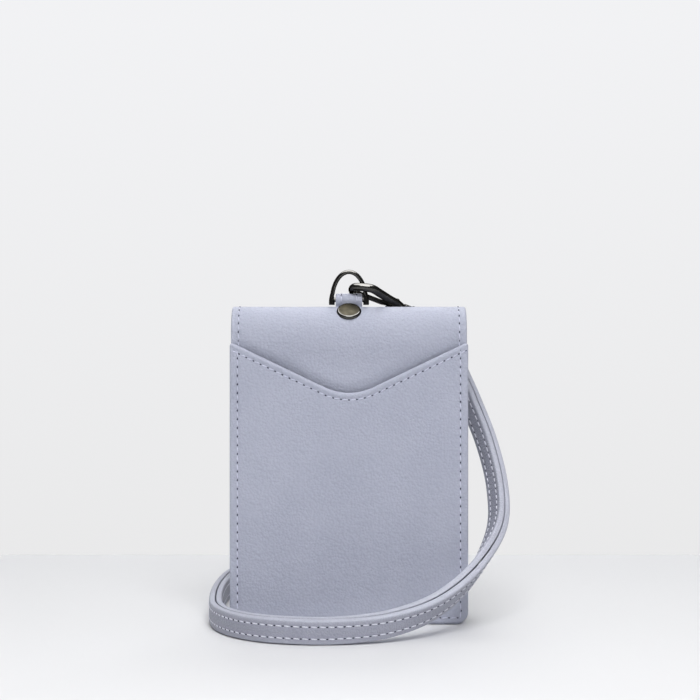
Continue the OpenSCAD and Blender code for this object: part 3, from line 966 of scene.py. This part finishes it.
def fold_slack(p, dist):
    """The leather bulges where it leaves the fold, and sinks in behind the pocket."""
    x, v = p[:, 0], p[:, 1]
    proud = BULGE - BULGE_SIDES * np.clip((np.abs(x) - 25) / 12, 0, 1)
    above = np.clip((v - scoop_height(x) + 1.0) / 5.0, 0, 1)
    behind = 1 - above * above * (3 - 2 * above)
    sunk = SUNK * behind * np.clip((dist - LEATHER_EDGE) / 2, 0, 1)
    return slack(p, dist) + sunk - proud * gauss(v - BULGE_AT, BULGE_HALF)


def on_fold(p):
    """Points on the outer leather's face, with its slack."""
    p = p.copy()
    p[:, 2] += fold_slack(p[:, :2], np.full(len(p), RIM_W))
    return rolled(p)


def both_leaves(stem, width, low, face_y, face_r, thick, edge_r, material, nodes,
                faces=(level, level), **options):
    """A front panel that goes on over the fold, and a back panel that it meets."""
    place = rolled_at(face_y, face_r)
    cut = FOLD_Z + face_r * CUT_ANGLE
    end = 2 * FOLD_Z + math.pi * face_r
    for side, low, cut, place, face, where in (
        ("front", low, cut, place, faces[0], dict(blend=CREASE)),
        ("back", 0, end - cut, from_end(place, end), faces[1], dict(body="wallet")),
    ):
        panel(f"{stem}_{side}", panel_outline(width, low, cut), thick, edge_r, place,
              material, nodes[side], cut=cut, face=face, **options, **where)


both_leaves(
    "outer_leather", WALLET_W, FRONT_LIFT, FOLD_R, FOLD_R, RIM_LEAF_T, LEATHER_EDGE,
    LEATHER, {"front": ["front_cover", "fold_cover"], "back": ["back_cover"]},
    (fold_slack, slack), grid=1.6, back=rim_depth, back_insets=(RIM_W - 0.15, RIM_W),
)
both_leaves(
    "lining", LINING_W, 0, LINING_Y, FOLD_LINING_R, LINING_T, 0.2, LINING,
    {"front": ["front_lining", "fold_lining"], "back": ["back_lining"]},
    grid=1.8, slot="lining",
)


# The pocket with its scooped, turned edge

SIDE_SEAM_X = 37.7
SEAM_BOTTOM = 2.4
SCOOP_SEAM_DROP = 2.35
SCOOP_SEAM_END = 1.6
GROOVE = 0.13
GROOVE_ROWS = (-0.6, -0.3, 0, 0.3, 0.6)
RIM_ROWS = (-1.1, -1.35, -1.6, -1.85)
ROW_STEP = 0.9
CROWN = 0.22
HOLLOW = 0.18                   # below the scoop, where the pocket sags in
HOLLOW_AT = 15


def edge_seam():
    """Down the left side, along the bottom and up the right side."""
    top = float(scoop_height(SIDE_SEAM_X)) - 0.5
    left = np.array([[-SIDE_SEAM_X, top], [-SIDE_SEAM_X, SEAM_BOTTOM + 1]])
    turn = arc((-SIDE_SEAM_X + 1, SEAM_BOTTOM + 1), 1.0, 180, 270, 4)
    return np.concatenate([left, turn, mirrored(turn), mirrored(left)])


def scoop_seam():
    end = POCKET_W / 2 - SCOOP_SEAM_END
    x = np.linspace(-end, end, 90)
    step = 0.01
    slope = (scoop_height(x + step) - scoop_height(x - step)) / (2 * step)
    down = unit(columns(slope, -np.ones_like(slope)))
    return columns(x, scoop_height(x)) + down * SCOOP_SEAM_DROP


def beside(line, offsets):
    """Rows of points beside a line, for a groove."""
    run = run_length(line)
    spots = at_runs(np.arange(ROW_STEP / 2, run[-1], ROW_STEP), run, line)
    left = left_of(unit(np.gradient(spots, axis=0)))
    return [spots + left * o for o in offsets]


POCKET_SEAMS = [edge_seam(), scoop_seam()]


def pocket_face(p, dist):
    """Turned rim along the scoop, sewn grooves, a soft crown and a hollow."""
    grooves = np.minimum(*[distance_to(p, s[:-1], s[1:]) for s in POCKET_SEAMS])
    scoop = scoop_line(POCKET_W / 2)
    from_scoop = distance_to(p, scoop[:-1], scoop[1:])
    rim = -0.1 * gauss(from_scoop - 1.1, 0.6) + 0.06 * gauss(from_scoop - 1.9, 0.3)
    crown = -CROWN * np.clip((dist - 3.2) / 9, 0, 1) ** 0.7
    crown += HOLLOW * gauss(from_scoop - HOLLOW_AT, 6)
    return GROOVE * gauss(grooves, 0.3) + rim + crown + slack(p, dist)


def pocket():
    half = POCKET_W / 2
    end = float(scoop_height(half))
    corner = np.array([
        [half, end - 1.5], [half - 0.15, end - 0.85], [half - 0.6, end - 0.5],
    ])
    top = np.concatenate([corner, scoop_line(half - 1.3, 0.9), mirrored(corner)])
    rows = [row for line in POCKET_SEAMS for row in beside(line, GROOVE_ROWS)]
    rows += beside(scoop_line(half - 1.2)[::-1], RIM_ROWS)
    panel(
        "pocket_leather", panel_outline(POCKET_W, FRONT_LIFT, 0, top=top), POCKET_T,
        0.8, facing(FRONT, -POCKET_Y), LEATHER, ["pocket_panel"], body="pocket_leaf",
        face=pocket_face, rows=np.concatenate(rows), grid=1.8,
    )
    for name, line, pitch in (
        ("pocket_stitches_edge", POCKET_SEAMS[0], SEAM_PITCH),
        ("pocket_stitches_scoop", POCKET_SEAMS[1], SCOOP_PITCH),
    ):
        seam(name, line, facing(FRONT, -POCKET_Y + 0.06), straight_out(FRONT), pitch,
             body="pocket_leaf")


pocket()


def edge_strip(name, high, place, node, body):
    """A strip along both sides and the bottom. high gives its height at an x."""
    half = WALLET_W / 2
    inner = half - SEAM_W
    outline = np.concatenate([
        *lower_corners(WALLET_W, 0),
        [[half, high(half)], [inner, high(inner)], [inner, SEAM_W],
         [-inner, SEAM_W], [-inner, high(inner)], [-half, high(half)]],
    ])
    panel(name, outline, RIM_T, 0.12, place, LEATHER, [node], body, slot="seam",
          back_r=0.1)


edge_strip("pocket_edge_strip", lambda x: float(scoop_height(x)) - 0.3,
           facing(FRONT, -POCKET_Y + POCKET_T), "pocket_seam", "pocket_leaf")
edge_strip("badge_edge_strip", lambda x: FRAME_H,
           facing(BACK, FOLD_R + RIM_T), "badge_seam", "wallet")


# Card slots inside, and the badge frame behind

def card_slot(node, high, y, way, body):
    name, place = node + "_leather", facing(way, y)
    panel(name, thumb_outline(LINING_W, high), SLOT_T, 0.35, place, INNER_LEATHER,
          [node], body)
    half, low = LINING_W / 2 - 2.2, 2.2
    line = [[-half, high - 2], [-half, low], [half, low], [half, high - 2]]
    seam(name + "_stitches", line, place, straight_out(way), body=body)


card_slot("front_slot_tall", TALL_SLOT_H, -SLOT_HALF, BACK, "pocket_leaf")
card_slot("front_slot_short", SHORT_SLOT_H, -SLOT_HALF + SLOT_T, BACK, "pocket_leaf")
card_slot("back_slot", TALL_SLOT_H, SLOT_HALF, FRONT, "wallet")


# The window in the frame: its corners, rows of points beside it, and its seam
WINDOW = np.array([[-WINDOW_W / 2, WINDOW_LOW], [WINDOW_W / 2, WINDOW_HIGH]])
WINDOW_ROWS = (0.7, 1.2, 1.6, 2.0)
WINDOW_SEAM = 2.4


def badge_face(p, dist):
    away = np.maximum(np.maximum(WINDOW[0] - p, p - WINDOW[1]), 0)
    from_window = np.linalg.norm(away, axis=1)
    rim = -0.12 * gauss(from_window - 0.7, 0.6) + 0.09 * gauss(from_window - 1.6, 0.3)
    return rim + slack(p, dist)


def badge_frame():
    hole = rounded_box(*WINDOW, WINDOW_R)[::-1]
    fine = subdivided(hole, 1.0)
    place, out = facing(BACK, FRAME_Y), straight_out(BACK)
    panel(
        "badge_frame_leather", thumb_outline(WALLET_W, FRAME_H), FRAME_T, 0.38, place,
        LEATHER, ["badge_frame"], "wallet", holes=[hole], face=badge_face,
        rows=np.concatenate([inset(fine, s) for s in WINDOW_ROWS]), grid=1.8,
    )
    side, top = WALLET_W / 2 - 2.3, FRAME_H - 2
    line = [[-side, top], [-side, SEAM_BOTTOM], [side, SEAM_BOTTOM], [side, top]]
    seam("badge_frame_stitches", line, place, out, body="wallet")
    around = inset(fine, WINDOW_SEAM)
    around = np.concatenate([around, around[:1]])
    seam("window_stitches", around, place, out, WINDOW_PITCH, body="wallet")


badge_frame()


# Stitches of the outer leather above the pocket, over the fold and to the frame

def fold_seams():
    x = SIDE_SEAM_X - 0.25
    low = float(scoop_height(x)) - 1.2
    cut_v = CUT_V - 1.0
    end_v = END_V - FRAME_H - 0.6

    def out(p):
        angle = np.clip((p[:, 1] - FOLD_Z) / FOLD_R, 0, math.pi)
        return columns(0 * angle, -np.cos(angle), np.sin(angle))

    for side, word in ((-1, "left"), (1, "right")):
        front = [[side * x, low], [side * x, cut_v]]
        back = [[side * x, cut_v], [side * x, end_v]]
        seam(f"fold_stitches_{word}", front, on_fold, out, blend=CREASE)
        seam(f"fold_stitches_back_{word}", back, rolled, out, body="wallet")


fold_seams()


# The tab that holds the ring

OUTWARD = np.array([0, -math.cos(TAB_ANGLE), math.sin(TAB_ANGLE)])
BACKWARD = np.array([0, math.sin(TAB_ANGLE), math.cos(TAB_ANGLE)])
ACROSS = np.array([1.0, 0, 0])
FOLD_CENTRE = np.array([0, 0, FOLD_Z])
RING_AT = FOLD_CENTRE + BAR_AT * OUTWARD
LOOP_R = RING_R + 0.1 + TAB_T / 2
TAB_STITCH_AT = 2.6
TAB_STITCH_FROM = 8.6


def tab_line():
    """The middle of the tab's ply in (outward, backward) from the fold's centre."""
    tail = [
        (TAB_BURIED_R * math.cos(a), -TAB_BURIED_R * math.sin(a))
        for a in np.linspace(TAB_ANGLE - TAIL_ANGLE, 0.14, 8)
    ]
    front = [(7.5, -0.54), (8.3, -0.52), (8.9, -0.62), (9.4, -0.88), (9.9, -1.14)]
    loop = [
        (BAR_AT + LOOP_SLACK * max(math.cos(a), 0) + LOOP_R * math.cos(a),
         -LOOP_R * math.sin(a))
        for a in np.radians(np.linspace(112, -112, 19))
    ]
    rear = [(r, -b) for r, b in front[::-1]] + [(7.0, 0.54)]
    return np.array(tail + front + loop + rear)


def ring_tab():
    line = tab_line()
    fine = np.array([
        smooth_at(list(line), t) for t in np.linspace(0, len(line) - 1, 3 * len(line))
    ])
    middles = FOLD_CENTRE + fine[:, :1] * OUTWARD + fine[:, 1:] * BACKWARD
    outs = -np.cross(unit(np.gradient(middles, axis=0)), ACROSS)
    half = TAB_T / 2
    ridge = [[2.5, half - 0.05], [0, half + 0.03], [-2.5, half - 0.05]]
    section = ply_section(TAB_W, TAB_T, 0.38, 0.38, 4, ridge, NO_POINTS)
    rings = [laid(section, m, ACROSS, o) for m, o in zip(middles, outs)]
    ply("tab_leather", section, rings, LEATHER, "ring_tab", 0.45, body="wallet")

    run = (middles + outs * half)[fine[:, 0] > TAB_STITCH_FROM]
    spots, aheads = evenly(run, TAB_PITCH, 0.3)
    normals = unit(np.cross(ACROSS, aheads))
    normals *= np.sign((normals * unit(spots - RING_AT)).sum(1))[:, None]
    stitches(
        "tab_stitches",
        np.concatenate([spots + ACROSS * x for x in (-TAB_STITCH_AT, TAB_STITCH_AT)]),
        np.tile(aheads, (2, 1)), np.tile(normals, (2, 1)), half=1.0, pitch=TAB_PITCH,
        hole_half=0.25, body="wallet",
    )


ring_tab()


# The rivet's cap: a satin face inside a polished shoulder

RIVET_FACE_R = 3.5


def rivet():
    out = np.array([0, -math.cos(RIVET_ANGLE), math.sin(RIVET_ANGLE)])
    face = [
        (RIVET_FACE_R * s, 1.04 - 0.24 * s ** 2)
        for s in (0.02, 0.2, 0.4, 0.6, 0.8, 0.93, 1)
    ]
    shoulder = [(3.54, 0.76), (3.64, 0.745), (3.78, 0.69), (3.92, 0.6), (4.04, 0.47),
                (4.14, 0.3), (4.21, 0.1), (4.24, -0.1), (4.22, -0.35), (4.1, -0.4)]
    points, faces = turned(face + shoulder, 72)
    radii = np.hypot(points[:, 0], points[:, 1])
    which = [int(min(radii[i] for i in f) > RIVET_FACE_R - 0.01) for f in faces]
    shape = placed(
        (points, faces), FOLD_CENTRE + out * FOLD_R, ACROSS, np.cross(out, ACROSS), out
    )
    piece = make_piece(
        "rivet_cap_metal", *shape, [RIVET_FACE, GUNMETAL], which, sharp=30.0
    )
    finish_piece(piece, "hardware", ["rivet_cap"], body="wallet")


rivet()


# Cast pieces: simple forms melted together and smoothed

def cast(node, parts, body, voxel=0.15, rounds=6):
    name = node + "_metal"
    rough = make_piece(name + "_rough", *joined(parts), [GUNMETAL])
    remesh = rough.modifiers.new("melt", "REMESH")
    remesh.mode = "VOXEL"
    remesh.voxel_size = voxel * MM
    smooth = rough.modifiers.new("smooth", "SMOOTH")
    smooth.factor = 0.5
    smooth.iterations = rounds
    graph = bpy.context.evaluated_depsgraph_get()
    mesh = bpy.data.meshes.new_from_object(rough.evaluated_get(graph))
    bpy.data.objects.remove(rough)
    mesh.name = name
    mesh.materials.clear()
    mesh.materials.append(GUNMETAL)
    mesh.shade_smooth()
    finish_piece(new_object(name, mesh), "hardware", [node], body=body)


def d_ring():
    """A bow of wire whose legs end in square feet, on a straight bar."""
    top = [
        (RING_HALF * math.cos(a), RING_RISE * math.sin(a))
        for a in np.radians(np.linspace(14, 166, 41))
    ]
    leg = [(RING_HALF + 0.1, z) for z in (-1.75, -1.0, -0.2, 0.6, 1.4)]
    line = np.array(leg + top + [(-x, z) for x, z in leg[::-1]])
    middles = RING_AT + columns(line[:, 0], 0 * line[:, 0], line[:, 1])
    foot = np.clip((1.3 - line[:, 1]) / 1.2, 0, 1)
    radii = columns(RING_R + 0.25 * foot, RING_R + 0.3 * foot)
    bar = [RING_AT + ACROSS * x for x in np.linspace(-RING_HALF, RING_HALF, 9)]
    back = np.array([0, 1.0, 0])
    cast("d_ring", [
        wire(middles, radii, 24, up=back), wire(bar, [RING_R] * len(bar), up=back),
    ], "ring", 0.11, 3)


d_ring()


# The clasp, in its own frame: along the swivel, to the side and up

def in_clasp(points):
    return CLASP_AT + np.asarray(points, float) @ np.array([CLASP_X, CLASP_Y, CLASP_Z])


def clasp_wire(line, radii, sides=20, closed=False):
    points, faces = wire(line, radii, sides, closed, up=np.array([0, 0, 1.0]))
    return in_clasp(points), faces


UPRIGHT, LENGTHWISE = [0, 1, 2], [2, 0, 1]


def clasp_turned(profile, sides, at=(0, 0, 0), axis=UPRIGHT):
    """A form turned about an axis of the clasp, from (radius, run) rows."""
    points, faces = turned(profile, sides)
    return in_clasp(points[:, axis] + np.array(at)), faces


def clasp_box(low, high):
    (a, b, c), (d, e, f) = low, high
    corners = [(x, y, z) for x in (a, d) for y in (b, e) for z in (c, f)]
    faces = [(0, 1, 3, 2), (4, 6, 7, 5), (0, 4, 5, 1), (2, 3, 7, 6), (0, 2, 6, 4),
             (1, 5, 7, 3)]
    return in_clasp(corners), faces


HOOK_L = 25.5
ARM_SPREAD = 4.4
GATE_SPREAD = 3.4
ARM_R = 1.4
ARM_SHARES = [(-0.2, 0.24), (-0.31, 0.43), (-0.46, 0.58), (-0.65, 0.87), (-0.83, 1.05),
              (-0.99, 0.35)]
TIP_SHARES = [(-0.99, -0.28), (-0.93, -0.92)]
ARM_THICK = [0.9, 1.02, 1.05, 1.05, 1.05, 1, 0.85, 0.65]
COLLAR = [(0.05, -3.4), (1.75, -3.4), (1.9, -3.1), (1.9, -0.3), (1.7, 0), (0.05, 0)]
PIN_AT = (-6.5, -2.6)
GATE_TOP = -1.7
GATE_BOSS = [(0.05, -0.5), (1.35, -0.5), (1.5, -0.35), (1.5, 0.35), (1.35, 0.5),
             (0.05, 0.5)]
KNOB_RUN = 2.1
KNOB_AT = -3.3
KNOB = [(0.05, -1.1), (0.5, -0.95), (0.85, -0.5), (0.9, 0.0), (0.8, 0.45),
        (0.55, 0.8), (0.6, 1.2), (0.8, 1.5), (0.8, 2.3), (0.05, 2.4)]
EYE_HALF = 5.0
EYE_NEAR = 1.3
EYE_CORNER = 1.3
EYE_COLLAR = [(0.05, 0.2), (2.0, 0.2), (2.3, 0.45), (2.3, 2.1), (1.9, 2.4), (0.05, 2.4)]
STRAP_RIVET = [(0.04, 0.9), (1.0, 0.86), (1.8, 0.7), (2.2, 0.5), (2.42, 0.28),
               (2.5, 0.05), (2.45, -0.1), (0.04, -0.1)]


def hook():
    rows = [np.array([x * HOOK_L, y * ARM_SPREAD, 0]) for x, y in ARM_SHARES]
    rows += [np.array([x * HOOK_L, y * GATE_SPREAD, 0]) for x, y in TIP_SHARES]
    steps = np.linspace(0, len(rows) - 1, 60)
    line = [smooth_at(rows, t) for t in steps]
    radii = [ARM_R * smooth_at(ARM_THICK, t) for t in steps]
    cast("clasp_hook", [
        clasp_wire(line, radii), clasp_turned(COLLAR, 32, axis=LENGTHWISE),
        clasp_box((-9.2, -1.75, -0.6), (-3.0, 1.8, 1.6)),
        clasp_box((-8.4, -4.1, -0.6), (-4.6, -1.6, 1.6)),
    ], "clasp")


def gate():
    pin = np.array(PIN_AT)
    run = np.array([-0.93 * HOOK_L + ARM_R, -GATE_SPREAD]) - pin
    swell = lambda s: min(s * 3.5, 1)
    line = [
        [*(pin + run * s), -1.15 + 0.45 * swell(s)] for s in np.linspace(0, 0.985, 24)
    ]
    radii = [(0.76, 0.5 + 0.42 * swell(s)) for s in np.linspace(0, 1, 24)]
    x, y = pin
    cast("clasp_gate", [
        clasp_wire(line, radii),
        clasp_turned(GATE_BOSS, 48, (x, y, -1.2)),
        clasp_turned(KNOB, 28, (x + KNOB_RUN, y, KNOB_AT)),
        clasp_box((x, y - 0.85, GATE_TOP), (x + KNOB_RUN, y + 0.85, -0.75)),
    ], "gate", 0.12, 4)


def swivel_eye():
    loop = subdivided(
        rounded_box((EYE_NEAR, -EYE_HALF), (EYE_BAR_RUN, EYE_HALF), EYE_CORNER), 0.6
    )
    line = columns(loop, np.zeros(len(loop)))
    cast("swivel_eye", [
        clasp_wire(line, [0.8] * len(line), 16, closed=True),
        clasp_turned(EYE_COLLAR, 32, axis=LENGTHWISE),
    ], "lanyard_end", 0.13, 4)


def strap_rivet():
    p, along, width, out = route.frame(1)
    face = STRAND_OFF + STRAP_T / 2
    for node, side in (("strap_rivet", -1), ("strap_rivet_cap", 1)):
        shape = placed(
            turned(STRAP_RIVET, 40), p + out * side * face, along, width * side,
            out * side,
        )
        piece = make_piece(node + "_metal", *shape, [GUNMETAL], sharp=40.0)
        finish_piece(piece, "hardware", [node], body="lanyard_end")


hook()
gate()
swivel_eye()
strap_rivet()


# CAD nodes that stay, with their materials

for name, material in (
    ("front_board", BOARD), ("back_board", BOARD), ("spine_board", BOARD),
    ("front_magnet", STEEL), ("back_magnet", STEEL), ("rivet_post", GUNMETAL),
    ("badge_window", CLEAR), ("gate_pin", STEEL), ("gate_spring", STEEL),
    ("swivel_stud", GUNMETAL),
):
    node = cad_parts[name]
    node.data.materials.clear()
    node.data.materials.append(material)


# The studio, in metres

FLOOR_HALF = 3.0
FLOOR_BACK = 0.171
# The floor is painted darker towards the back: painted shade where the floor meets the
# wall.
FLOOR_NEAR_TONE = (0.72, 0.722, 0.731)
FLOOR_FAR_SHADED_TONE = (0.645, 0.649, 0.661)
# The wall seen by the camera is painted darker towards the floor: painted shade.
WALL_LOW_SHADED = (0.815, 0.815, 0.82)
WALL_HIGH = (0.885, 0.888, 0.905)
ROOM_LOW = (0.13, 0.131, 0.135)
ROOM_HIGH = (0.30, 0.303, 0.313)
SHINE_LOW = (0.16, 0.16, 0.16)
SHINE_HIGH = (10.0, 10.0, 10.1)


def make_floor():
    s = Surface("studio_floor", Roughness=0.6)
    # Painted shade: the floor's tone darkens from near to far.
    depth = s.spread(s.axis("Y"), -0.12, FLOOR_BACK)
    s.set(Base_Color=s.mixed(depth, FLOOR_NEAR_TONE, FLOOR_FAR_SHADED_TONE))
    a, b = FLOOR_HALF, FLOOR_BACK
    corners = [(-a, -a, 0), (a, -a, 0), (a, b, 0), (-a, b, 0)]
    mesh = bpy.data.meshes.new("studio_floor")
    mesh.from_pydata(corners, [], [(0, 1, 2, 3)])
    mesh.materials.append(s.material)
    new_object("studio_floor", mesh)


def area_light(name, at, aim, size, power, shine):
    data = bpy.data.lights.new(name, "AREA")
    data.shape = "RECTANGLE"
    data.size, data.size_y = size
    data.energy = power
    data.specular_factor = shine
    light = new_object(name, data)
    light.location = at
    toward = unit(np.array(aim) - np.array(at))
    light.rotation_mode = "QUATERNION"
    light.rotation_quaternion = Vector(toward).to_track_quat("-Z", "Y")


def make_world():
    """A pale wall to the eye, soft light all round, and a bright ceiling in metal."""
    world = bpy.data.worlds.new("studio")
    world.use_nodes = True
    n = Nodes(world.node_tree, "Generated")
    up = n.axis("Z")
    # Painted shade: the wall darkens towards the floor.
    wall = n.mixed(n.spread(up, -0.14, 0.2), WALL_LOW_SHADED, WALL_HIGH)
    room = n.mixed(n.spread(up, 0.1, 0.9), ROOM_LOW, ROOM_HIGH)
    shine = n.mixed(n.spread(up, 0.80, 0.86), SHINE_LOW, SHINE_HIGH)
    room = n.mixed(n.put("ShaderNodeLightPath", "Is Glossy Ray"), room, shine)
    seen = n.mixed(n.put("ShaderNodeLightPath", "Is Camera Ray"), room, wall)
    n.feed(seen, n.tree.nodes["Background"].inputs["Color"])
    bpy.context.scene.world = world


make_floor()
make_world()
area_light("back_light", at=(0.05, 0.62, 0.80), aim=(0, 0, 0.02), size=(0.5, 0.3),
           power=2.6, shine=0.25)
area_light("front_light", at=(0.05, -0.80, 0.95), aim=(0, 0, 0.06), size=(0.7, 0.6),
           power=13.0, shine=0.8)
bpy.context.scene.view_settings.view_transform = "Standard"
